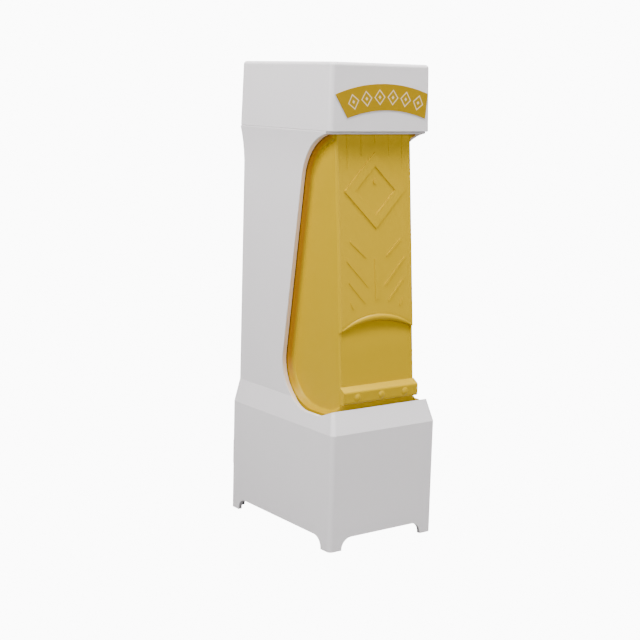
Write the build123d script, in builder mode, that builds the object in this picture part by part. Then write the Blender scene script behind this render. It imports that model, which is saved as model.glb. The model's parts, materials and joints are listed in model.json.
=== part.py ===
"""Hand-squeezed wire slicer for a stick of butter.

A white tower stands on four corner feet and holds the stick upright in a chute.
A yellow lever hangs from two short pins under the lid. Squeezing it swings a steel
wire rearwards through the foot of the stick, and springs push it forward again.
Under the wire a fixed plate sets how thick each pat is cut. Millimetres, +Z up, the
lever faces -Y, and the origin is the middle of the footprint on the table.
"""

from build123d import *
from math import asin, atan2, cos, degrees, radians, sin, sqrt, tan
import os

# ---------------------------------------------------------------- driving sizes
# The stick of butter, and what it needs around it
butter_side = 32.0
butter_length = 121.0
butter_gap = 0.5
pat_thickness = 6.4

# Walls
housing_wall = 1.8
lip_wall = 1.2
cap_wall = 1.8
chute_wall = 1.2
lever_wall = 1.6
rim_wall = 1.5

# Gaps between neighbours
chute_to_lever = 0.7
rim_gap = 0.5
lip_gap = 0.75
window_gap = 0.45
collar_gap = 0.3
wire_gap = 0.6
chute_rear_gap = 1.1
follower_gap = 0.3
pin_fit = 0.05
coil_gap = 0.15

# Outside of the housing
base_depth = 76.8
base_corner = 2.0
tower_corner = 1.4
tower_draft = 0.35
foot_height = 5.3
foot_width = 6.4
foot_curve = 5.0
shoulder_inset = 2.7
shoulder_rear_inset = 1.3
shoulder_front_inset = 3.5
shoulder_start = 50.3
shoulder_height = 10.3
flare = 1.3
flare_rear = 1.5
flare_height = 18.0
flare_steps = (0.0, 0.4, 0.7, 1.0)
cap_height = 28.0
cap_draft = 0.6
cap_front_inset = 9.4
cap_corner = 2.0
cap_edge = 1.5
seam_edge = 0.3

# Where the wire runs, and where the lever hangs
wire_height = 40.0
wire_diameter = 0.5
chute_over_wire = 3.5
front_wall_over_wire = 30.0
seam_over_chute = 3.0
chute_over_stick = 7.5
pivot_over_seam = 7.0
pivot_ahead_of_stick = 6.5

# Side window of the housing, which the lever's flanks fill
window_lean = 8.0
window_rear_inset = 32.6
window_top_radius = 21.7
window_bottom_radius = 20.0
window_front_radius = 8.0
window_front_run = 8.4
window_floor_rise = 6.0
window_tip_inset = 12.4
window_head = 0.6
bar_height = 1.1
lip_height = 9.4

# Lever
lever_lean = 4.7
rim_height = 2.9
rim_reach = 4.0
rim_draft = 20.0
rim_cove = 1.0
lever_edge = 1.2
lever_top_over_seam = 9.0
lip_overlap = 1.5
grip_rise = 2.1
grip_flat = 5.4
grip_slope = 1.9
grip_proud = 1.7
grip_edge = 1.2
nub_radius = 3.0
nub_proud = 0.6
nub_pitch = 12.8
nub_count = 3
thumb_rise = 37.6
thumb_arch = 5.4
thumb_depth = 0.7
scoop_depth = 1.8
scoop_height = 13.6
recess_wall = 1.2
brow_radius = 1.6
brow_tip_radius = 0.5
brow_proud = 0.7
brow_tip_proud = 0.1
brow_fade = 1.6

# Ornament on the lever's face, heights measured up from the housing's lip
relief = 0.35
ray_relief = 0.2
stripe_pitch = 7.3
stripe_count = 5
stripe_width = 0.45
stripe_depth = 0.12
stripe_foot = 110.8
stripe_step = 5.3
diamond_rise = 90.8
diamond_half_width = 16.2
diamond_half_height = 15.9
diamond_border = 4.1
dot_rise = 94.8
dot_radius = 1.0
ray_width = 0.9
bar_width = 2.0
bar_ends = (45.3, 62.3)
rays = [
    ((13.3, 70.0), (5.7, 63.5)),
    ((15.3, 62.2), (4.7, 51.2)),
    ((14.4, 53.0), (6.4, 44.5)),
    ((13.8, 44.7), (12.6, 42.2)),
]

# Metal parts
pin_radius = 1.5
pin_head_radius = 2.4
pin_head = 0.8
pin_sleeve = 1.1
spring_wire = 0.6
spring_turns = 2.25
spring_pitch = 0.64
spring_leg = 12.0
spring_post = 7.2
screw_radius = 1.1
screw_head_radius = 2.1
screw_head = 1.4
screw_slot = 0.5
screw_depth = 8.0
wire_boss = 1.9
ferrule_radius = 1.2
ferrule_length = 2.0
insert_radius = 1.3
insert_flange = 0.6
tension_radius = 0.8
tension_head = 1.5
tension_length = 4.0
deck_thickness = 1.2
deck_length = 26.0
cheek_thickness = 1.9
cheek_length = 15.0
cheek_drop = 5.5
plate_thickness = 2.0
plate_depth = 14.5

# Posts, ears and collar inside the housing
collar_ahead = 16.0
collar_wall = 1.4
pillar_behind = 8.5
pillar_height = 12.5
chute_screw_inset = 3.5
boss_length = 11.0
boss_height = 11.0
ear_thickness = 1.5
ear_wall = 3.3
arm_drop = 3.2
arm_clear = 4.0

# Follower that sinks with the stick
follower_height = 12.4
follower_wall = 1.6
weight_gap = 0.6
weight_height = 8.0
tab_proud = 1.1
tab_height = 5.0
knob_radius = 5.0
knob_height = 13.0

# ---------------------------------------------------------------- worked-out sizes
# Half-widths, from the stick of butter outwards
chute_inner = butter_side + 2 * butter_gap
chute_inner_half = chute_inner / 2
chute_half = chute_inner_half + chute_wall
lever_inner_half = chute_half + chute_to_lever
lever_half = lever_inner_half + lever_wall
rim_half = lever_half + rim_height
tower_inner_half = rim_half + rim_gap
tower_half = tower_inner_half + housing_wall
base_half = tower_half + shoulder_inset
base_inner_half = base_half - housing_wall
seam_half = tower_half + flare

# Fronts and rears
base_front = -base_depth / 2
base_rear = base_depth / 2
tower_rear = base_rear - shoulder_rear_inset
tower_inner_rear = tower_rear - housing_wall
seam_rear = tower_rear + flare_rear
cap_front = base_front + cap_front_inset
lip_front = base_front + shoulder_front_inset
chute_rear = tower_inner_rear - chute_rear_gap
chute_front = chute_rear - chute_inner - 2 * chute_wall
chute_middle = (chute_front + chute_rear) / 2

# Heights
shoulder_end = shoulder_start + shoulder_height
lip_top = shoulder_start + lip_height
chute_bottom = wire_height + chute_over_wire
chute_top = chute_bottom + butter_length + chute_over_stick
seam = chute_top + seam_over_chute
overall_height = seam + cap_height
flare_start = seam - flare_height
pivot_z = seam + pivot_over_seam
pivot_y = chute_middle - pivot_ahead_of_stick
plate_top = wire_height - pat_thickness

# Lever swing: the wire starts just ahead of the stick and stops just behind it
wire_start = chute_front + chute_wall - wire_gap
wire_stop = chute_rear - chute_wall + wire_gap
wire_reach = sqrt((pivot_z - wire_height) ** 2 + (pivot_y - wire_start) ** 2)
rest_angle = degrees(asin((wire_start - pivot_y) / wire_reach))
squeezed_angle = degrees(asin((wire_stop - pivot_y) / wire_reach))
stroke = squeezed_angle - rest_angle
print(f"stroke {stroke:.3f} deg about y {pivot_y:.3f} z {pivot_z:.3f}, height {overall_height:.2f}")


def lever_face(z):
    """Y of the lever's main front face at height z: it leans out towards the table."""
    return lip_front + lip_wall + lip_gap - thumb_depth + (z - lip_top) * tan(radians(lever_lean))


lever_foot = lip_top - lip_overlap
lever_top = seam + lever_top_over_seam
lever_plane = Plane(
    origin=(0, lever_face(lip_top), lip_top),
    x_dir=(1, 0, 0),
    z_dir=(0, -cos(radians(lever_lean)), sin(radians(lever_lean))),
)


def along_face(z):
    """Distance up the lever's front plane from the lip to height z."""
    return (z - lip_top) / cos(radians(lever_lean))


def finish(piece, name):
    """Name a finished piece and write it out."""
    piece.part.label = name
    export_step(piece.part, f"parts/{name}.step")


def slab(half_width, front, rear, corner):
    """Rounded rectangle between two Y positions, for the sketch being drawn."""
    with Locations((0, (front + rear) / 2)):
        RectangleRounded(2 * half_width, rear - front, corner)


def side_plane(side, distance):
    """YZ plane at a distance from the middle; side is -1 for left, +1 for right."""
    return Plane.YZ.offset(side * distance)


def pan_screw(shank):
    """Slotted pan-head screw, head up, with the underside of its head at Z = 0."""
    with BuildPart() as screw:
        with BuildSketch(Plane.XY):
            Circle(screw_head_radius)
        extrude(amount=screw_head)
        fillet(screw.edges().group_by(Axis.Z)[-1], screw_head * 0.45)
        with BuildSketch(Plane.XY):
            Circle(screw_radius)
        extrude(amount=-shank)
        chamfer(screw.edges().group_by(Axis.Z)[0], screw_radius * 0.4)
        with BuildSketch(Plane.XY.offset(screw_head)):
            Rectangle(2.2 * screw_head_radius, screw_slot)
        extrude(amount=-screw_slot, mode=Mode.SUBTRACT)
    return screw.part


os.makedirs("parts", exist_ok=True)

# ---------------------------------------------------------------- window profile
# Side view (Y, Z) of the opening in the housing, drawn once for both flanks.
window_floor = shoulder_start + window_floor_rise
window_rear_low = base_rear - window_rear_inset
window_top = seam - window_head
window_rear_high = window_rear_low - (window_top - window_floor) * tan(radians(window_lean))
window_bend = lip_front + window_front_run
far_front = base_front - base_depth
bar_front = base_front + window_tip_inset
bar_rear = lever_face(seam - bar_height) - window_gap
window_top_corner = (window_rear_high, window_top)
window_rear_corner = (window_rear_low, window_floor)
window_front_corner = (window_bend, window_floor)

with BuildSketch(Plane.YZ) as window:
    with BuildLine():
        Polyline(
            (far_front, window_top),
            window_top_corner,
            window_rear_corner,
            window_front_corner,
            (lip_front, lip_top),
            (far_front, lip_top),
            close=True,
        )
    make_face()
    fillet(window.vertices().sort_by_distance(window_top_corner)[0], window_top_radius)
    fillet(window.vertices().sort_by_distance(window_rear_corner)[0], window_bottom_radius)
    fillet(window.vertices().sort_by_distance(window_front_corner)[0], window_front_radius)

with BuildSketch(Plane.YZ) as lever_room:
    with BuildLine():
        Polyline(
            (lever_face(wire_height) + thumb_depth, wire_height),
            (lever_face(lever_top) + thumb_depth, lever_top),
            (base_rear, lever_top),
            (base_rear, wire_height),
            close=True,
        )
    make_face()

# ---------------------------------------------------------------- housing
collar_foot = chute_top + 0.5
collar_top = seam + pivot_over_seam + spring_post + 0.3
collar_half = seam_half - cap_wall - collar_gap - cap_draft / 2
collar_rear = seam_rear - cap_wall - collar_gap - cap_draft / 2
collar_front = pivot_y - collar_ahead
sleeve_half = lever_half + rim_gap * 0.6
sleeve_radius = pin_radius + pin_sleeve
pillar_front = pivot_y + pillar_behind
pillar_rear = tower_inner_rear - 1.5
pillar_top = chute_top - ear_thickness
pillar_inner = chute_half + 0.1
boss_inner = lever_half - 0.5
boss_front = base_rear - boss_length
plate_bottom = plate_top - plate_thickness
boss_middle_x = (boss_inner + base_inner_half) / 2
boss_middle_y = (boss_front + base_rear - housing_wall) / 2
plate_screw_spots = [(side * boss_middle_x, boss_middle_y) for side in (-1, 1)]
chute_screw_x = collar_half - collar_wall - collar_gap - screw_head_radius
chute_screw_spots = [(side * chute_screw_x, y) for side in (-1, 1)
                     for y in (pillar_front + chute_screw_inset, pillar_rear - chute_screw_inset)]

with BuildPart() as housing:
    # Base, sloping shoulder, tower and the flare that meets the lid
    with BuildSketch(Plane.XY):
        slab(base_half, base_front, base_rear, base_corner)
    extrude(amount=shoulder_start)
    with BuildSketch(Plane.XY.offset(shoulder_start)):
        slab(base_half, base_front, base_rear, base_corner)
    with BuildSketch(Plane.XY.offset(shoulder_end)):
        slab(tower_half + tower_draft, lip_front, tower_rear, tower_corner)
    loft()
    for height, draft in ((shoulder_end, tower_draft), (flare_start, 0)):
        with BuildSketch(Plane.XY.offset(height)):
            slab(tower_half + draft, lip_front, tower_rear, tower_corner)
    loft()
    for rise in flare_steps:
        with BuildSketch(Plane.XY.offset(flare_start + rise * (flare_height - seam_edge))):
            slab(tower_half + rise**2 * flare, lip_front, tower_rear + rise**2 * flare_rear, tower_corner)
    loft()
    for height, inset in ((seam - seam_edge, 0), (seam, seam_edge)):
        with BuildSketch(Plane.XY.offset(height)):
            slab(seam_half - inset, lip_front, seam_rear - inset, tower_corner)
    loft()
    # Hollow inside, open at the top and the bottom
    with BuildSketch(Plane.XY):
        slab(base_inner_half, base_front + housing_wall, base_rear - housing_wall, base_corner / 2)
    extrude(amount=shoulder_start, mode=Mode.SUBTRACT)
    with BuildSketch(Plane.XY.offset(shoulder_start)):
        slab(base_inner_half, base_front + housing_wall, base_rear - housing_wall, base_corner / 2)
    with BuildSketch(Plane.XY.offset(shoulder_end)):
        slab(tower_inner_half, lip_front + lip_wall, tower_inner_rear, base_corner / 2)
    loft(mode=Mode.SUBTRACT)
    with BuildSketch(Plane.XY.offset(shoulder_end)):
        slab(tower_inner_half, lip_front + lip_wall, tower_inner_rear, base_corner / 2)
    extrude(amount=seam - shoulder_end, mode=Mode.SUBTRACT)
    # Collar that the lid slips over
    with BuildSketch(Plane.XY.offset(collar_foot)):
        slab(collar_half, collar_front, collar_rear, base_corner / 2)
        with Locations((0, collar_front)):
            Rectangle(
                2 * (collar_half - collar_wall),
                2 * (collar_rear - collar_wall - collar_front),
                mode=Mode.SUBTRACT,
            )
    extrude(amount=collar_top - collar_foot)
    for side in (-1, 1):
        # Pin sleeve, with its post for the fixed leg of the spring
        with BuildSketch(side_plane(side, sleeve_half)):
            with Locations((pivot_y, pivot_z)):
                Circle(sleeve_radius)
        extrude(amount=side * (collar_half - sleeve_half))
        with BuildSketch(side_plane(side, lever_half + rim_gap)):
            with Locations((pivot_y + sleeve_radius - 1.2, collar_top - 1.5)):
                Rectangle(2.4, 3.0)
        extrude(amount=side * (collar_half - lever_half - rim_gap))
        # Pillar under the chute's ears
        with BuildSketch(Plane.XY.offset(pillar_top)):
            with Locations((side * (pillar_inner + tower_half) / 2, (pillar_front + pillar_rear) / 2)):
                Rectangle(tower_half - pillar_inner - housing_wall / 2, pillar_rear - pillar_front)
        extrude(amount=-pillar_height)
        # Corner boss under the pat plate
        with BuildSketch(Plane.XY.offset(plate_bottom)):
            with Locations(
                (side * (boss_inner + base_half) / 2, (boss_front + base_rear) / 2)
            ):
                Rectangle(
                    base_half - boss_inner - housing_wall / 2,
                    base_rear - boss_front - housing_wall / 2,
                )
        extrude(amount=-boss_height)
    for side in (-1, 1):
        # Bore for the pin and seat for its head
        with BuildSketch(side_plane(side, sleeve_half)):
            with Locations((pivot_y, pivot_z)):
                Circle(pin_radius)
        extrude(amount=side * (collar_half - sleeve_half), mode=Mode.SUBTRACT)
        with BuildSketch(side_plane(side, collar_half)):
            with Locations((pivot_y, pivot_z)):
                Circle(pin_head_radius + pin_fit)
        extrude(amount=-side * pin_head, mode=Mode.SUBTRACT)
    # Screw holes in the pillars and the corner bosses
    with BuildSketch(Plane.XY.offset(pillar_top)):
        with Locations(*chute_screw_spots):
            Circle(screw_radius)
    extrude(amount=-screw_depth, mode=Mode.SUBTRACT)
    with BuildSketch(Plane.XY.offset(plate_bottom)):
        with Locations(*plate_screw_spots):
            Circle(screw_radius)
    extrude(amount=-screw_depth, mode=Mode.SUBTRACT)
    # Window in the flanks and the open front above the lip
    extrude(window.sketch, amount=base_depth, both=True, mode=Mode.SUBTRACT)
    with BuildSketch(Plane.YZ):
        with Locations((bar_front, (seam + lip_top) / 2)):
            Rectangle(base_depth, seam - lip_top, align=(Align.MAX, Align.CENTER))
    extrude(amount=base_depth, both=True, mode=Mode.SUBTRACT)
    # Bar under the lid, which joins the flanks ahead of the lever
    with BuildSketch(Plane.YZ):
        with BuildLine():
            Polyline(
                (bar_front, seam - bar_height),
                (bar_front, seam - seam_edge),
                (bar_front + seam_edge, seam),
                (bar_rear, seam),
                (bar_rear, seam - bar_height),
                close=True,
            )
        make_face()
    extrude(amount=(tower_inner_half + tower_half) / 2, both=True)
    # Gaps that leave a foot at each corner
    with BuildSketch(Plane.YZ):
        RectangleRounded(base_depth - 2 * foot_width, 2 * foot_height, foot_curve)
    extrude(amount=base_depth, both=True, mode=Mode.SUBTRACT)
    with BuildSketch(Plane.XZ):
        RectangleRounded(2 * (base_half - foot_width), 2 * foot_height, foot_curve)
    extrude(amount=base_depth, both=True, mode=Mode.SUBTRACT)
finish(housing, "housing")

# ---------------------------------------------------------------- lid and its label
cap_top = overall_height
with BuildPart() as cap:
    with BuildSketch(Plane.XY.offset(seam)):
        slab(seam_half, cap_front, seam_rear, cap_corner)
    with BuildSketch(Plane.XY.offset(cap_top)):
        slab(seam_half - cap_draft, cap_front + cap_draft, seam_rear - cap_draft, cap_corner)
    loft()
    fillet(cap.edges().group_by(Axis.Z)[-1], cap_edge)
    chamfer(cap.faces().sort_by(Axis.Z)[0].edges(), seam_edge)
    with BuildSketch(Plane.XY.offset(seam)):
        slab(seam_half - cap_wall, cap_front + cap_wall, seam_rear - cap_wall, cap_corner / 2)
    with BuildSketch(Plane.XY.offset(cap_top - cap_wall)):
        slab(
            seam_half - cap_wall - cap_draft,
            cap_front + cap_wall + cap_draft,
            seam_rear - cap_wall - cap_draft,
            cap_corner / 2,
        )
    loft(mode=Mode.SUBTRACT)
finish(cap, "cap")

label_thickness = 0.25
label_foot = 5.5
label_height = 9.5
label_left = 24.1
label_right = 24.6
label_low_left = 17.8
label_low_right = 23.4
label_crown = 4.6
label_low_crown = 3.3
cap_face = Plane(
    origin=(0, cap_front, seam),
    x_dir=(1, 0, 0),
    z_dir=(0, -cap_height, cap_draft),
)
with BuildPart() as cap_label:
    with BuildSketch(cap_face):
        with BuildLine():
            crown_x = (label_right - label_left) / 2 + 3.0
            ThreePointArc(
                (-label_left, label_foot + label_height),
                (crown_x, label_foot + label_height + label_crown),
                (label_right, label_foot + label_height + 0.9),
            )
            Line((label_right, label_foot + label_height + 0.9), (label_low_right, label_foot))
            ThreePointArc(
                (label_low_right, label_foot),
                (crown_x + 0.5, label_foot + label_low_crown),
                (-label_low_left, label_foot),
            )
            Line((-label_low_left, label_foot), (-label_left, label_foot + label_height))
        make_face()
    extrude(amount=label_thickness)
finish(cap_label, "cap_label")

# ---------------------------------------------------------------- chute
slot_width = 5.0
slot_foot = chute_bottom + 3.0
front_wall_foot = wire_height + front_wall_over_wire
chute_ear_outer = tower_inner_half - 0.6
with BuildPart() as butter_chute:
    with BuildSketch(Plane.XY.offset(chute_bottom)):
        slab(chute_half, chute_front, chute_rear, chute_wall)
    extrude(amount=chute_top - chute_bottom)
    # Ears that sit on the housing's pillars
    with BuildSketch(Plane.XY.offset(chute_top)):
        for side in (-1, 1):
            with Locations(
                (side * (chute_half + chute_ear_outer - chute_wall) / 2, (pillar_front + pillar_rear) / 2)
            ):
                Rectangle(chute_ear_outer - chute_half + chute_wall, pillar_rear - pillar_front)
    extrude(amount=-ear_thickness)
    with BuildSketch(Plane.XY.offset(chute_bottom)):
        with Locations((0, chute_middle)):
            Rectangle(chute_inner, chute_inner)
    extrude(amount=chute_top - chute_bottom, mode=Mode.SUBTRACT)
    # The front wall stops above the lever's swing, and the side walls stand back from it
    with BuildSketch(Plane.XY.offset(chute_bottom)):
        with Locations((0, chute_front)):
            Rectangle(2 * lever_half, 2 * (chute_wall + butter_gap))
    extrude(amount=front_wall_foot - chute_bottom, mode=Mode.SUBTRACT)
    # Slots that guide the follower's tabs
    with BuildSketch(Plane.YZ):
        with Locations((chute_middle, (slot_foot + chute_top) / 2)):
            Rectangle(slot_width, chute_top - slot_foot)
    extrude(amount=chute_half, both=True, mode=Mode.SUBTRACT)
    with BuildSketch(Plane.XY.offset(chute_top)):
        with Locations(*chute_screw_spots):
            Circle(screw_radius + 0.1)
    extrude(amount=-ear_thickness, mode=Mode.SUBTRACT)
finish(butter_chute, "butter_chute")

# ---------------------------------------------------------------- fixed small parts
with BuildPart() as chute_screws:
    with Locations(*[(x, y, chute_top) for x, y in chute_screw_spots]):
        add(pan_screw(ear_thickness + screw_depth - 1.0))
finish(chute_screws, "chute_screws")

# Pat plate: the stick stands on it, one pat's thickness below the wire
plate_rear = base_rear - housing_wall - 0.3
plate_half = base_inner_half - 0.3
with BuildPart() as pat_plate:
    with BuildSketch(Plane.XY.offset(plate_bottom)):
        slab(plate_half, plate_rear - plate_depth, plate_rear, plate_thickness / 2)
    extrude(amount=plate_thickness)
    chamfer(pat_plate.faces().sort_by(Axis.Y)[0].edges().sort_by(Axis.Z)[-1], plate_thickness * 0.45)
    with BuildSketch(Plane.XY.offset(plate_bottom)):
        with Locations(*plate_screw_spots):
            Circle(screw_radius + 0.1)
    extrude(amount=plate_thickness, mode=Mode.SUBTRACT)
finish(pat_plate, "pat_plate")

with BuildPart() as plate_screws:
    with Locations(*[(x, y, plate_top) for x, y in plate_screw_spots]):
        add(pan_screw(plate_thickness + screw_depth - 1.0))
finish(plate_screws, "plate_screws")

for side, name in ((-1, "hinge_pin_left"), (1, "hinge_pin_right")):
    with BuildPart() as hinge_pin:
        with BuildSketch(side_plane(side, lever_inner_half)):
            with Locations((pivot_y, pivot_z)):
                Circle(pin_radius)
        extrude(amount=side * (collar_half - lever_inner_half))
        with BuildSketch(side_plane(side, collar_half)):
            with Locations((pivot_y, pivot_z)):
                Circle(pin_head_radius)
        extrude(amount=-side * pin_head)
    finish(hinge_pin, name)

# Return springs: the fixed leg stands behind its post, the free leg lies under the
# lever's tab and pushes it up, which swings the foot of the lever forward.
coil_radius = sleeve_radius + coil_gap + spring_wire / 2
coil_outer = collar_half - collar_wall - coil_gap - spring_wire / 2
for side, name in ((-1, "return_spring_left"), (1, "return_spring_right")):
    coil_plane = Plane(
        origin=(side * coil_outer, pivot_y, pivot_z),
        x_dir=(0, 1, 0),
        z_dir=(-side, 0, 0),
    )
    coil = coil_plane * Helix(
        spring_pitch, spring_turns * spring_pitch, coil_radius, lefthand=side < 0
    )
    fixed_leg = Line((coil @ 0) + Vector(0, 0, spring_post), coil @ 0)
    free_leg = Line(coil @ 1, (coil @ 1) - Vector(0, spring_leg, 0))
    centre_line = Wire([fixed_leg.edge(), coil.edge(), free_leg.edge()])
    with BuildPart() as return_spring:
        with BuildSketch(Plane(origin=centre_line @ 0, z_dir=centre_line % 0)):
            Circle(spring_wire / 2)
        sweep(path=centre_line, is_frenet=True)
    finish(return_spring, name)

# ---------------------------------------------------------------- lever
thumb_top = lip_top + thumb_rise
scoop_foot = thumb_top - scoop_height
grip_low = lip_top + grip_rise
grip_bend = grip_low + grip_flat
grip_high = grip_bend + grip_slope
pad = thumb_depth + recess_wall
arm_reach = wire_reach + arm_drop
arm_inner_reach = pivot_z - window_floor - arm_clear
cheek_reach = wire_reach + cheek_drop
arm_front_angle = rest_angle - degrees((deck_length + 1.5) / wire_reach)
cheek_rear_angle = arm_front_angle + degrees(cheek_length / wire_reach)
deck_rear_angle = rest_angle - degrees(1.0 / wire_reach)
deck_front_angle = deck_rear_angle - degrees(deck_length / wire_reach)
deck_top_reach = wire_reach - wire_diameter / 2
deck_low_reach = deck_top_reach + deck_thickness
cheek_inner = lever_inner_half - cheek_thickness
cheek_middle = wire_reach + deck_thickness / 2 + cheek_drop / 2
cheek_mid_angle = (arm_front_angle + cheek_rear_angle) / 2
cheek_step = degrees(cheek_length / 4 / wire_reach)
frame_screw_spots = []
for step in (-1, 1):
    angle = radians(cheek_mid_angle + step * cheek_step)
    frame_screw_spots.append((pivot_y + cheek_middle * sin(angle), pivot_z - cheek_middle * cos(angle)))
ear_radius = pin_radius + ear_wall
tab_side = 1.6
tab_y = pivot_y - spring_leg + 1.5
tab_foot = pivot_z - coil_radius + spring_wire / 2 + 0.05
straight_down = -90.0


def swing_band(inner, outer, start, end):
    """Band between two radii about the hinge; angles run rearwards from straight down."""
    with BuildSketch(Plane.XY) as band:
        with BuildLine():
            near = CenterArc((pivot_y, pivot_z), inner, straight_down + start, end - start)
            far = CenterArc((pivot_y, pivot_z), outer, straight_down + start, end - start)
            Line(near @ 0, far @ 0)
            Line(near @ 1, far @ 1)
        make_face()
    return band.sketch


# Upper face of the lever, which stands proud of the thumb recess and ends in its arch.
# It is as thick as the scoop is deep where the two meet.
with BuildPart() as upper_face:
    for top, depth in ((lever_top, pad), (thumb_top + pad, pad + scoop_depth)):
        with BuildSketch(lever_plane):
            with BuildLine():
                arch = ThreePointArc(
                    (-lever_half, along_face(thumb_top - thumb_arch)),
                    (0, along_face(thumb_top)),
                    (lever_half, along_face(thumb_top - thumb_arch)),
                )
                Polyline(
                    arch @ 1,
                    (lever_half, along_face(top)),
                    (-lever_half, along_face(top)),
                    arch @ 0,
                )
            make_face()
        extrude(amount=-depth)
    fillet(
        upper_face.edges().filter_by(
            lambda edge: abs(edge.center().X) > lever_half - 0.01
            and abs(edge.center().Y - lever_face(edge.center().Z)) < 0.01
        ),
        lever_edge,
    )

# Space outside a flank, within its rim; the flank runs into the rim with a cove
with BuildPart() as dish:
    with BuildSketch(side_plane(1, rim_half)):
        add(window.sketch_local)
        offset(amount=-window_gap)
    extrude(amount=-rim_height, taper=rim_draft)
    fillet(dish.faces().sort_by(Axis.X)[0].edges(), rim_cove)

with BuildPart() as lever:
    # Front wall at the depth of the thumb recess, scooped out deeper under the arch
    with BuildSketch(Plane.YZ):
        with BuildLine():
            scoop = TangentArc(
                (lever_face(scoop_foot) + thumb_depth, scoop_foot),
                (lever_face(thumb_top) + thumb_depth + scoop_depth, thumb_top),
                tangent=(sin(radians(lever_lean)), cos(radians(lever_lean))),
            )
            Polyline(
                scoop @ 1,
                (lever_face(thumb_top) + pad + scoop_depth, thumb_top),
                (lever_face(scoop_foot) + pad, scoop_foot - scoop_depth),
                (lever_face(lever_foot) + pad, lever_foot),
                (lever_face(lever_foot) + thumb_depth, lever_foot),
                scoop @ 0,
            )
        make_face()
    extrude(amount=lever_inner_half, both=True)
    for side in (-1, 1):
        # Flank that fills the window
        with BuildSketch(side_plane(side, lever_inner_half)):
            add(window.sketch_local)
            offset(amount=rim_wall - window_gap)
            add(lever_room.sketch_local, mode=Mode.INTERSECT)
        extrude(amount=side * lever_wall)
    fillet(
        lever.edges().filter_by(
            lambda edge: abs(edge.center().X) > lever_half - 0.01
            and abs(edge.center().Y - lever_face(edge.center().Z) - thumb_depth) < 0.01
            and edge.length > thumb_rise / 2
        ),
        lever_edge * 0.8,
    )
    add(upper_face.part)
    for side in (-1, 1):
        # Rim that steps out behind the window's edge, with a flange hidden inside it
        with BuildSketch(side_plane(side, lever_half)):
            add(window.sketch_local)
            offset(amount=rim_wall - window_gap)
            add(lever_room.sketch_local, mode=Mode.INTERSECT)
        extrude(amount=side * rim_height)
        with BuildSketch(side_plane(side, rim_half)):
            add(window.sketch_local)
            offset(amount=rim_reach)
            add(lever_room.sketch_local, mode=Mode.INTERSECT)
        extrude(amount=-side * rim_wall)
        add(dish.part if side > 0 else dish.part.mirror(Plane.YZ), mode=Mode.SUBTRACT)
        # Ear that hangs on the hinge pin
        with BuildSketch(side_plane(side, lever_inner_half)):
            with BuildLine():
                Polyline(
                    (lever_face(lever_top) + pad / 2, lever_top),
                    (pivot_y, pivot_z + ear_radius),
                    (pivot_y + ear_radius, pivot_z),
                    (window_rear_high + rim_reach, flare_start),
                    (lever_face(flare_start) + pad / 2, flare_start),
                    close=True,
                )
            make_face()
            with Locations((pivot_y, pivot_z)):
                Circle(ear_radius)
        extrude(amount=side * lever_wall)
        # Tab that bears on the spring's free leg
        with BuildSketch(side_plane(side, lever_half)):
            with Locations((tab_y, tab_foot)):
                Rectangle(tab_side, tab_side, align=(Align.CENTER, Align.MIN))
        extrude(amount=side * tab_side)
        # Arm that carries the deck and the wire
        with BuildSketch(side_plane(side, lever_inner_half)):
            add(swing_band(arm_inner_reach, arm_reach, arm_front_angle, rest_angle))
            add(swing_band(arm_inner_reach, cheek_reach, arm_front_angle, cheek_rear_angle))
            with Locations((wire_start, wire_height)):
                Circle(wire_boss)
        extrude(amount=side * lever_wall)
        # Bores for the hinge pin, and for the wire or its brass insert
        with BuildSketch(side_plane(side, lever_inner_half)):
            with Locations((pivot_y, pivot_z)):
                Circle(pin_radius + pin_fit)
            with Locations((wire_start, wire_height)):
                Circle(insert_radius if side > 0 else wire_diameter / 2)
            with Locations(*frame_screw_spots):
                Circle(screw_radius + 0.1)
        extrude(amount=side * lever_wall, mode=Mode.SUBTRACT)
    # Grip bar across the foot of the recess, with its row of nubs
    with BuildSketch(Plane.YZ) as grip:
        with BuildLine():
            Polyline(
                (lever_face(grip_low) + pad / 2, grip_low),
                (lever_face(grip_low) - grip_proud, grip_low),
                (lever_face(grip_low) - grip_proud, grip_bend),
                (lever_face(grip_high) + thumb_depth, grip_high),
                (lever_face(grip_high) + pad / 2, grip_high),
                close=True,
            )
        make_face()
        fillet(grip.vertices().group_by(Axis.X)[0], grip_edge)
    extrude(amount=lever_half, both=True)
    nub_y = lever_face(grip_low) - grip_proud + nub_radius - nub_proud
    with Locations((0, nub_y, (grip_low + grip_bend) / 2)):
        with GridLocations(nub_pitch, 0, nub_count, 1):
            Sphere(nub_radius)
    # Brow that rolls over the arch and thins out at its ends
    brow_end = lever_half - brow_fade
    brow_end_height = along_face(thumb_top - thumb_arch * (brow_end / lever_half) ** 2)
    brow = lever_plane * ThreePointArc(
        (-brow_end, brow_end_height, brow_tip_proud - brow_tip_radius),
        (0, along_face(thumb_top), brow_proud - brow_radius),
        (brow_end, brow_end_height, brow_tip_proud - brow_tip_radius),
    )
    for along, radius in ((0, brow_tip_radius), (0.5, brow_radius), (1, brow_tip_radius)):
        with BuildSketch(Plane(origin=brow @ along, z_dir=brow % along)):
            Circle(radius)
    sweep(path=brow, multisection=True)
    # Raised diamond with its dot
    with BuildSketch(lever_plane):
        middle = along_face(lip_top + diamond_rise)
        for inset, mode in ((0, Mode.ADD), (1.4 * diamond_border, Mode.SUBTRACT)):
            half_width = diamond_half_width - inset
            half_height = diamond_half_height - inset
            with BuildLine():
                Polyline(
                    (0, middle - half_height),
                    (half_width, middle),
                    (0, middle + half_height),
                    (-half_width, middle),
                    close=True,
                )
            make_face(mode=mode)
        with Locations((0, dot_rise)):
            Circle(dot_radius)
    extrude(amount=relief)
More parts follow.
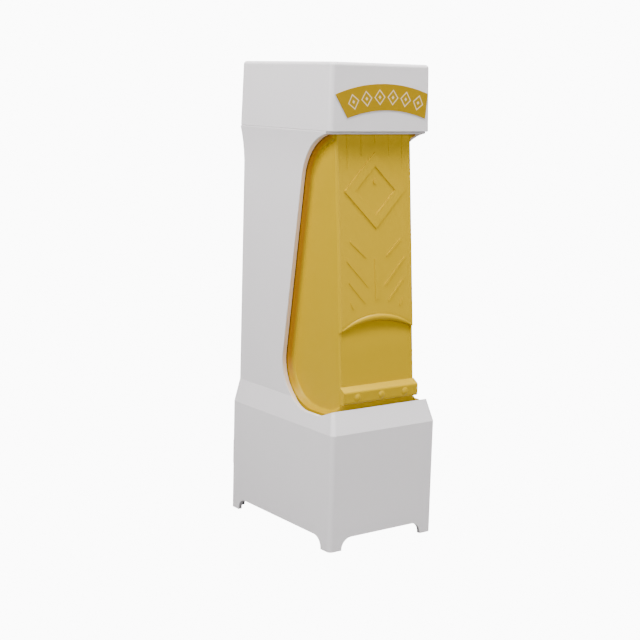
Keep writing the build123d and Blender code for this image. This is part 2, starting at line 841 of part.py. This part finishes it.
    # Fainter rays either side of a bar
    with BuildSketch(lever_plane):
        with Locations((0, sum(bar_ends) / 2)):
            Rectangle(bar_width, bar_ends[1] - bar_ends[0])
        for side in (-1, 1):
            for outer, inner in rays:
                run, rise = outer[0] - inner[0], outer[1] - inner[1]
                middle = (side * (outer[0] + inner[0]) / 2, (outer[1] + inner[1]) / 2)
                with Locations(Location(middle, side * degrees(atan2(rise, run)))):
                    SlotOverall(sqrt(run**2 + rise**2) + ray_width, ray_width)
    extrude(amount=ray_relief)
    # Engraved stripes that run up under the lid
    with BuildSketch(lever_plane):
        for stripe in range(-(stripe_count // 2), stripe_count // 2 + 1):
            foot = stripe_foot - stripe_step * abs(stripe)
            with Locations((stripe * stripe_pitch, foot)):
                Rectangle(stripe_width, lever_top - lip_top, align=(Align.CENTER, Align.MIN))
    extrude(amount=-stripe_depth, mode=Mode.SUBTRACT)
finish(lever, "lever")

# ---------------------------------------------------------------- cutter
with BuildPart() as cutter_frame:
    # Deck that slides under the cut face of the stick
    with BuildSketch(Plane.YZ.offset(-lever_inner_half)):
        add(swing_band(deck_top_reach, deck_low_reach, deck_front_angle, deck_rear_angle))
    extrude(amount=2 * lever_inner_half)
    # Cheeks that screw to the lever's arms
    for side in (-1, 1):
        with BuildSketch(side_plane(side, cheek_inner)):
            add(swing_band(deck_top_reach, arm_reach, deck_front_angle, deck_rear_angle))
            add(swing_band(deck_top_reach, cheek_reach, deck_front_angle, cheek_rear_angle))
        extrude(amount=side * cheek_thickness)
        with BuildSketch(side_plane(side, cheek_inner)):
            with Locations(*frame_screw_spots):
                Circle(screw_radius)
        extrude(amount=side * cheek_thickness, mode=Mode.SUBTRACT)
finish(cutter_frame, "cutter_frame")

with BuildPart() as frame_screws:
    for side in (-1, 1):
        for y, z in frame_screw_spots:
            with Locations(Location((side * lever_half, y, z), (0, side * 90, 0))):
                add(pan_screw(lever_wall + cheek_thickness))
finish(frame_screws, "frame_screws")

# Wire, crimped in a ferrule on the left and pulled tight by a hollow screw on the right
tension_end = lever_half + insert_flange + tension_length
with BuildPart() as cutter_wire:
    with BuildSketch(side_plane(-1, lever_half + ferrule_length)):
        with Locations((wire_start, wire_height)):
            Circle(wire_diameter / 2)
    extrude(amount=lever_half + ferrule_length + tension_end)
finish(cutter_wire, "cutter_wire")

with BuildPart() as wire_ferrule:
    with BuildSketch(side_plane(-1, lever_half)):
        with Locations((wire_start, wire_height)):
            Circle(ferrule_radius)
            Circle(wire_diameter / 2, mode=Mode.SUBTRACT)
    extrude(amount=-ferrule_length)
    chamfer(wire_ferrule.edges().group_by(Axis.X)[0].sort_by(SortBy.LENGTH)[-1], ferrule_radius * 0.3)
finish(wire_ferrule, "wire_ferrule")

with BuildPart() as tension_insert:
    with BuildSketch(side_plane(1, lever_inner_half)):
        with Locations((wire_start, wire_height)):
            Circle(insert_radius)
    extrude(amount=lever_wall)
    with BuildSketch(side_plane(1, lever_half)):
        with Locations((wire_start, wire_height)):
            RegularPolygon(wire_boss, 6)
    extrude(amount=insert_flange)
    with BuildSketch(side_plane(1, lever_inner_half)):
        with Locations((wire_start, wire_height)):
            Circle(tension_radius)
    extrude(amount=lever_wall + insert_flange, mode=Mode.SUBTRACT)
finish(tension_insert, "tension_insert")

with BuildPart() as tension_screw:
    with BuildSketch(side_plane(1, lever_inner_half)):
        with Locations((wire_start, wire_height)):
            Circle(tension_radius)
    extrude(amount=tension_end - tension_length / 2 - lever_inner_half)
    with BuildSketch(side_plane(1, tension_end - tension_length / 2)):
        with Locations((wire_start, wire_height)):
            RegularPolygon(tension_head, 6)
    extrude(amount=tension_length / 2)
    with BuildSketch(side_plane(1, lever_inner_half)):
        with Locations((wire_start, wire_height)):
            Circle(wire_diameter / 2)
    extrude(amount=tension_end - lever_inner_half, mode=Mode.SUBTRACT)
finish(tension_screw, "tension_screw")

# ---------------------------------------------------------------- follower
follower_side = chute_inner - 2 * follower_gap
follower_foot = slot_foot + 0.1
follower_top = follower_foot + follower_height
well_side = follower_side - 2 * follower_wall
plug_side = well_side - 0.2
knob_foot = follower_top + follower_wall
with BuildPart() as follower:
    with BuildSketch(Plane.XY.offset(follower_foot)):
        with Locations((0, chute_middle)):
            RectangleRounded(follower_side, follower_side, follower_wall)
    extrude(amount=follower_height)
    with BuildSketch(Plane.XY.offset(follower_foot)):
        with Locations((0, chute_middle)):
            Rectangle(follower_side + 2 * tab_proud, slot_width - 2 * follower_gap)
    extrude(amount=tab_height)
    with BuildSketch(Plane.XY.offset(follower_foot + follower_wall)):
        with Locations((0, chute_middle)):
            RectangleRounded(well_side, well_side, follower_wall / 2)
    extrude(amount=follower_height, mode=Mode.SUBTRACT)
finish(follower, "follower")

with BuildPart() as follower_weight:
    with BuildSketch(Plane.XY.offset(follower_foot + follower_wall)):
        with Locations((0, chute_middle)):
            RectangleRounded(well_side - 2 * weight_gap, well_side - 2 * weight_gap, follower_wall)
    extrude(amount=weight_height)
finish(follower_weight, "follower_weight")

with BuildPart() as follower_knob:
    # Cover plate with a rim that plugs the well, and the knob to lift it by
    with BuildSketch(Plane.XY.offset(follower_top)):
        with Locations((0, chute_middle)):
            RectangleRounded(follower_side, follower_side, follower_wall)
    extrude(amount=follower_wall)
    with BuildSketch(Plane.XY.offset(follower_top)):
        with Locations((0, chute_middle)):
            RectangleRounded(plug_side, plug_side, follower_wall / 2)
            Rectangle(plug_side - 2 * follower_wall, plug_side - 2 * follower_wall, mode=Mode.SUBTRACT)
    extrude(amount=weight_height + follower_wall - follower_height)
    with BuildSketch(Plane.XY.offset(knob_foot)):
        with Locations((0, chute_middle)):
            Circle(knob_radius)
    extrude(amount=knob_height)
    fillet(follower_knob.edges().group_by(Axis.Z)[-1], knob_radius * 0.4)
    fillet(
        follower_knob.edges().filter_by(GeomType.CIRCLE).filter_by(
            lambda edge: abs(edge.center().Z - knob_foot) < 0.01 and edge.radius > knob_radius - 0.01
        ),
        knob_radius * 0.3,
    )
finish(follower_knob, "follower_knob")
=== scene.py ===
import json
from math import cos, radians, sin, tan

import bmesh
import bpy
from mathutils import Matrix, Vector

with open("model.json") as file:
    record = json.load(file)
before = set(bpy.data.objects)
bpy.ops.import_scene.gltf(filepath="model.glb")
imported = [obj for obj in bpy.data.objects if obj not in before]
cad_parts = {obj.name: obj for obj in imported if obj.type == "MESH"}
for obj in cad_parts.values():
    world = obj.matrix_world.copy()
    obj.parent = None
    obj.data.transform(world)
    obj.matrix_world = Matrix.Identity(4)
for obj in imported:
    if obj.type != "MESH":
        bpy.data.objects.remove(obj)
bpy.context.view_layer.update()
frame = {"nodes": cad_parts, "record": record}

# ------------------------------------------------------------------ sizes, in millimetres
MM = 0.001

# Lever: its front plane leans out towards the table, and its upper face ends in an arch
lever_lean = 4.7
lip_top = 59.7
front_at_lip = -33.65
face_half = 19.2
face_depth = 0.9
arch_top = 98.8
arch_flatness = 74.0
cove_half = 21.1
cove_foot = 68.0

# Diamond that is left smooth in the middle of the grained face
panel_half_width = 10.4
panel_half_height = 9.9
panel_middle = 150.3

# Cut edges of the side windows
window_wall_inner = 23.4
window_wall_outer = 25.05
window_front = -31.5
window_rear = 12.0
window_foot = 58.0
window_head = 173.9

# Print on the lid, drawn about the middle of the band's arch
arch_x = 2.2
arch_z = 119.84
arch_radius = 69.37
diamond_pitch = 6.9
diamond_half_width = 2.9
diamond_half_height = 3.3
diamond_count = 6


# ------------------------------------------------------------------ camera
def studio_camera(azimuth, elevation, roll, place, lens):
    """Camera whose azimuth 0 looks along +Y; roll turns the picture about the view line."""
    a, e, r = radians(azimuth), radians(elevation), radians(roll)
    back = Vector((sin(a) * cos(e), -cos(a) * cos(e), sin(e)))
    right = Vector((cos(a), sin(a), 0.0))
    up = back.cross(right)
    right, up = cos(r) * right + sin(r) * up, cos(r) * up - sin(r) * right
    data = bpy.data.cameras.new("studio_camera")
    data.lens = lens
    data.sensor_width = 36.0
    data.clip_start = 0.01
    data.clip_end = 20.0
    camera = bpy.data.objects.new("studio_camera", data)
    bpy.context.collection.objects.link(camera)
    turn = Matrix((right, up, back)).transposed().to_4x4()
    camera.matrix_world = Matrix.Translation(Vector(place) * MM) @ turn
    bpy.context.scene.camera = camera


# ------------------------------------------------------------------ shader graph helpers
class Value:
    """A socket that carries a number; + - * / and the methods below add Math nodes."""

    def __init__(self, finish, socket):
        self.finish = finish
        self.socket = socket

    def math(self, operation, *others):
        return self.finish.node("ShaderNodeMath", {"operation": operation}, [self, *others]).value(0)

    def __add__(self, other):
        return self.math("ADD", other)

    __radd__ = __add__

    def __sub__(self, other):
        return self.math("SUBTRACT", other)

    def __rsub__(self, other):
        return self.finish.number(other).math("SUBTRACT", self)

    def __mul__(self, other):
        return self.math("MULTIPLY", other)

    __rmul__ = __mul__

    def __truediv__(self, other):
        return self.math("DIVIDE", other)

    def __abs__(self):
        return self.math("ABSOLUTE")

    def over(self, edge, blur):
        """0 below edge, 1 above it, with a soft step of width blur."""
        ramp = (self - (edge - blur / 2)) / blur
        return ramp.math("MAXIMUM", 0.0).math("MINIMUM", 1.0)

    def under(self, edge, blur):
        """1 below edge, 0 above it, with a soft step of width blur."""
        return 1.0 - self.over(edge, blur)


class Added:
    """A node in a finish's graph."""

    def __init__(self, finish, node):
        self.finish = finish
        self.node = node

    def value(self, output):
        return Value(self.finish, self.node.outputs[output])


class Finish:
    """A material with one Principled shader, built up node by node."""

    def __init__(self, name, **shader):
        self.material = bpy.data.materials.new(name)
        self.material.use_nodes = True
        self.tree = self.material.node_tree
        self.tree.nodes.clear()
        constants = {socket.replace("_", " "): value for socket, value in shader.items()}
        self.shader = self.node("ShaderNodeBsdfPrincipled", {}, constants)
        self.node("ShaderNodeOutputMaterial", {}, {"Surface": self.shader.value("BSDF")})
        self.place = self.node("ShaderNodeTexCoord", {}, {}).value("Object")
        axes = self.node("ShaderNodeSeparateXYZ", {}, [self.place])
        self.x, self.y, self.z = (axes.value(i) * (1 / MM) for i in range(3))

    def node(self, kind, settings, inputs):
        """Adds a node: its settings first, then values or links for its sockets."""
        node = self.tree.nodes.new(kind)
        for name, value in settings.items():
            setattr(node, name, value)
        pairs = inputs.items() if isinstance(inputs, dict) else enumerate(inputs)
        for key, value in pairs:
            socket = node.inputs[key]
            if isinstance(value, Value):
                self.tree.links.new(value.socket, socket)
            elif socket.type == "RGBA":
                socket.default_value = (*value, 1.0)
            else:
                socket.default_value = value
        return Added(self, node)

    def number(self, value):
        return self.node("ShaderNodeMath", {"operation": "ADD"}, [value, 0.0]).value(0)

    def noise(self, grain_mm, detail=3.0, roughness=0.5, stretch=(1, 1, 1)):
        """Noise from 0 to 1 with features about grain_mm wide."""
        mapped = self.node("ShaderNodeMapping", {}, {"Vector": self.place, "Scale": stretch})
        sockets = {
            "Vector": mapped.value(0),
            "Scale": 1 / (grain_mm * MM),
            "Detail": detail,
            "Roughness": roughness,
        }
        return self.node("ShaderNodeTexNoise", {}, sockets).value(0)

    def mix(self, factor, a, b):
        """Colour a where factor is 0, colour b where it is 1."""
        return self.node("ShaderNodeMix", {"data_type": "RGBA"}, {0: factor, 6: a, 7: b}).value(2)

    def set(self, **sockets):
        """Links values to the shader's sockets."""
        for name, value in sockets.items():
            socket = self.shader.node.inputs[name.replace("_", " ")]
            self.tree.links.new(value.socket, socket)

    def bump(self, height_mm):
        """Height in millimetres, as relief on the surface."""
        bump = self.node("ShaderNodeBump", {}, {"Strength": 1.0, "Distance": MM, "Height": height_mm})
        self.set(Normal=bump.value(0))


# ------------------------------------------------------------------ finishes
def darker(colour, share):
    """The colour with each channel multiplied by share."""
    return tuple(channel * share for channel in colour)


def white_moulding():
    """Satin white plastic with a faint orange peel, cloudiness and handling marks, plus a painted
    reflection of yellow on the windows' cut edges.
    """
    tint = (0.780, 0.745, 0.755)
    finish = Finish("white_moulding", IOR=1.46, Specular_IOR_Level=0.5)
    shade = finish.mix(finish.noise(22, 2.0), tint, darker(tint, 0.965))
    dust = finish.noise(0.9, 2.0).over(0.70, 0.06)
    shade = finish.mix(dust * 0.05, shade, (0.55, 0.50, 0.46))
    # Painted reflection: the windows' cut edges are tinted with the yellow light that bounces off the
    # lever beside them
    side, y, z = abs(finish.x), finish.y, finish.z
    painted_bounce = side.over(window_wall_inner, 0.1) * side.under(window_wall_outer, 0.1)
    painted_bounce = painted_bounce * y.over(window_front, 1.5) * y.under(window_rear, 1.0)
    painted_bounce = painted_bounce * z.over(window_foot, 4.0) * z.under(window_head, 0.1)
    shade = finish.mix(painted_bounce * 0.8, shade, (0.78, 0.56, 0.38))
    finish.set(Base_Color=shade, Roughness=0.39 + finish.noise(3.5, 4.0, 0.65) * 0.14)
    finish.bump(finish.noise(1.6, 2.0) * 0.012 + finish.noise(0.25, 1.0) * 0.0022)
    return finish


def yellow_moulding():
    """Butter-yellow plastic: spark-eroded grain on the upper front face, satin elsewhere, with
    painted shade in the flank coves and the grained face painted lighter, partly as painted light.
    """
    finish = Finish("yellow_moulding", IOR=1.46, Specular_IOR_Level=0.22)
    x, y, z = finish.x, finish.y, finish.z
    depth = y - (z - lip_top) * tan(radians(lever_lean)) - front_at_lip
    above_arch = (z + x * x * (1 / arch_flatness)).over(arch_top, 1.0)
    face = above_arch * depth.under(face_depth, 0.3) * abs(x).under(face_half, 0.5)
    panel = abs(x) / panel_half_width + abs(z - panel_middle) / panel_half_height
    grain = finish.noise(0.55, 2.0, 0.6) + finish.noise(0.26, 1.0) * 0.5
    satin_shade = finish.mix(finish.noise(14, 3.0), (0.468, 0.297, 0.0001), (0.486, 0.310, 0.0001))
    # The grained face is painted lighter than the satin sides: partly the paler look of the grain,
    # partly painted light for the front catching more lamp light
    face_grain_and_painted_light = finish.mix(grain * 0.6, (0.545, 0.350, 0.0005), (0.485, 0.300, 0.0003))
    shade = finish.mix(face, satin_shade, face_grain_and_painted_light)
    # Painted shade: the cove round the flanks is painted a deeper orange for the shade and yellow
    # bounce light in it, less so near its foot, where light from above reaches
    painted_cove_shade = abs(x).over(cove_half, 1.1) * (z.over(cove_foot, 12.0) * 0.8 + 0.2)
    shade = finish.mix(painted_cove_shade * 0.75, shade, (0.36, 0.130, 0.0001))
    finish.set(Base_Color=shade, Roughness=0.34 + face * 0.16 + finish.noise(4.0, 3.0) * 0.08)
    finish.bump(face * panel.over(1.0, 0.04) * grain * 0.055 + finish.noise(1.8, 2.0) * 0.010)
    return finish


def plain_moulding(name, colour, rough):
    """Unpainted moulded plastic for the pieces inside."""
    finish = Finish(name, IOR=1.46)
    cloud = finish.noise(9, 2.0)
    flow = finish.noise(3, 2.0, stretch=(1, 1, 0.15))
    shade = finish.mix(cloud * 0.6 + flow * 0.4, colour, darker(colour, 0.90))
    finish.set(Base_Color=shade, Roughness=rough + finish.noise(0.8, 3.0) * 0.10)
    finish.bump(finish.noise(0.7, 2.0) * 0.010)
    return finish


def bare_metal(name, colour, rough, stretch):
    """Metal with drawn or turned marks along one axis."""
    finish = Finish(name, Metallic=1.0)
    marks = finish.noise(0.35, 3.0, 0.6, stretch)
    shade = finish.mix(finish.noise(4, 3.0), colour, darker(colour, 0.82))
    finish.set(Base_Color=shade, Roughness=rough + marks * 0.18)
    finish.bump(marks * 0.008)
    return finish


def printed_band():
    """Golden print on the lid with a row of pale diamonds, each with a dot in it."""
    finish = Finish("printed_band", IOR=1.46, Specular_IOR_Level=0.2)
    gold = finish.mix(finish.noise(2.2, 3.0), (0.338, 0.201, 0.0001), (0.364, 0.218, 0.0001))
    # Distance from the middle line of the band, and distance along it
    side, rise = finish.x - arch_x, finish.z - arch_z
    across = (side * side + rise * rise).math("SQRT") - arch_radius
    along = side.math("ARCTAN2", rise) * arch_radius
    step = (along / diamond_pitch).math("FRACT") - 0.5
    diamond = abs(step) * (diamond_pitch / diamond_half_width) + abs(across) / diamond_half_height
    outline = diamond.over(0.80, 0.08) * diamond.under(1.0, 0.08)
    dot = diamond.under(0.24, 0.10)
    row = abs(along).under(diamond_count / 2 * diamond_pitch, 0.1)
    pale = ((outline + dot) * row).math("MINIMUM", 1.0)
    shade = finish.mix(pale * 0.9, gold, (0.80, 0.62, 0.36))
    finish.set(Base_Color=shade, Roughness=0.36 + finish.noise(0.5, 2.0) * 0.10)
    finish.bump(finish.noise(0.5, 2.0) * 0.006)
    return finish


def dress_pieces():
    """Gives each piece the finish that its material slot names."""
    finishes = {
        "white_plastic": white_moulding(),
        "yellow_plastic": yellow_moulding(),
        "label_print": printed_band(),
        "natural_plastic": plain_moulding("natural_moulding", (0.72, 0.70, 0.64), 0.42),
        "grey_plastic": plain_moulding("grey_moulding", (0.11, 0.11, 0.12), 0.50),
        "steel": bare_metal("plated_steel", (0.62, 0.62, 0.63), 0.24, (1, 1, 0.1)),
        "stainless_wire": bare_metal("stainless_wire", (0.66, 0.66, 0.67), 0.18, (0.1, 1, 1)),
        "brass": bare_metal("turned_brass", (0.78, 0.55, 0.22), 0.22, (0.2, 1, 1)),
    }
    slots = {piece["node"]: piece["material_slot"] for piece in frame["record"]["subparts"]}
    for name, piece in frame["nodes"].items():
        piece.data.materials.clear()
        piece.data.materials.append(finishes[slots[name]].material)


# ------------------------------------------------------------------ floor and light, in metres
def floor_paint(glow):
    """Pale paint that the camera sees as a bright backdrop, and the object as a grey floor."""
    finish = Finish("floor_paint", Roughness=0.95, Base_Color=(0.20, 0.20, 0.20))
    backdrop = finish.node("ShaderNodeEmission", {}, {"Color": (1.0, 1.0, 1.0), "Strength": glow})
    seen = finish.node("ShaderNodeLightPath", {}, {}).value("Is Camera Ray")
    shown = finish.node("ShaderNodeMixShader", {}, [seen, finish.shader.value(0), backdrop.value(0)])
    output = finish.tree.nodes["Material Output"]
    finish.tree.links.new(shown.node.outputs[0], output.inputs["Surface"])
    return finish


def pale_floor(glow, left=-3.0, width=6.0, near=-3.0, far=2.2):
    """Broad flat sheet under the object."""
    mesh = bmesh.new()
    ends = [mesh.verts.new((left, y, 0.0)) for y in (near, far)]
    grown = bmesh.ops.extrude_edge_only(mesh, edges=[mesh.edges.new(ends)])["geom"]
    corners = [item for item in grown if isinstance(item, bmesh.types.BMVert)]
    bmesh.ops.translate(mesh, verts=corners, vec=(width, 0.0, 0.0))
    bmesh.ops.recalc_face_normals(mesh, faces=mesh.faces)
    data = bpy.data.meshes.new("floor")
    mesh.to_mesh(data)
    mesh.free()
    data.materials.append(floor_paint(glow).material)
    floor = bpy.data.objects.new("floor", data)
    bpy.context.collection.objects.link(floor)


def softbox(name, place, aim, side, power):
    """Square lamp that faces its aim."""
    data = bpy.data.lights.new(name, "AREA")
    data.shape = "SQUARE"
    data.size = side
    data.energy = power
    light = bpy.data.objects.new(name, data)
    bpy.context.collection.objects.link(light)
    turn = (Vector(place) - Vector(aim)).to_track_quat("Z", "Y").to_matrix().to_4x4()
    light.matrix_world = Matrix.Translation(Vector(place)) @ turn


def studio_world(strength, glow):
    """Even white light all round, behind a brighter backdrop."""
    world = bpy.data.worlds.new("studio_world")
    world.use_nodes = True
    tree = world.node_tree
    background = tree.nodes["Background"]
    path = tree.nodes.new("ShaderNodeLightPath")
    level = tree.nodes.new("ShaderNodeMapRange")
    level.inputs["To Min"].default_value = strength
    level.inputs["To Max"].default_value = glow
    tree.links.new(path.outputs["Is Camera Ray"], level.inputs["Value"])
    tree.links.new(level.outputs["Result"], background.inputs["Strength"])
    background.inputs["Color"].default_value = (1.0, 1.0, 1.0, 1.0)
    bpy.context.scene.world = world


# ------------------------------------------------------------------ the scene
backdrop_glow = 11.0

studio_camera(azimuth=-36.27, elevation=9.92, roll=1.51, place=(-356.57, -475.44, 194.95), lens=76.72)
dress_pieces()
pale_floor(backdrop_glow)
studio_world(0.03, backdrop_glow)
softbox("top_box", (0.0, -0.10, 0.80), (0.0, -0.03, 0.10), side=0.35, power=10.0)
softbox("key_box", (0.25, -0.25, 0.75), (0.0, 0.0, 0.10), side=0.30, power=4.5)
softbox("left_box", (-0.40, 0.0, 0.42), (-0.03, 0.0, 0.16), side=0.30, power=4.7)
softbox("front_box", (0.0, -1.00, 0.35), (0.0, 0.0, 0.10), side=0.60, power=6.0)
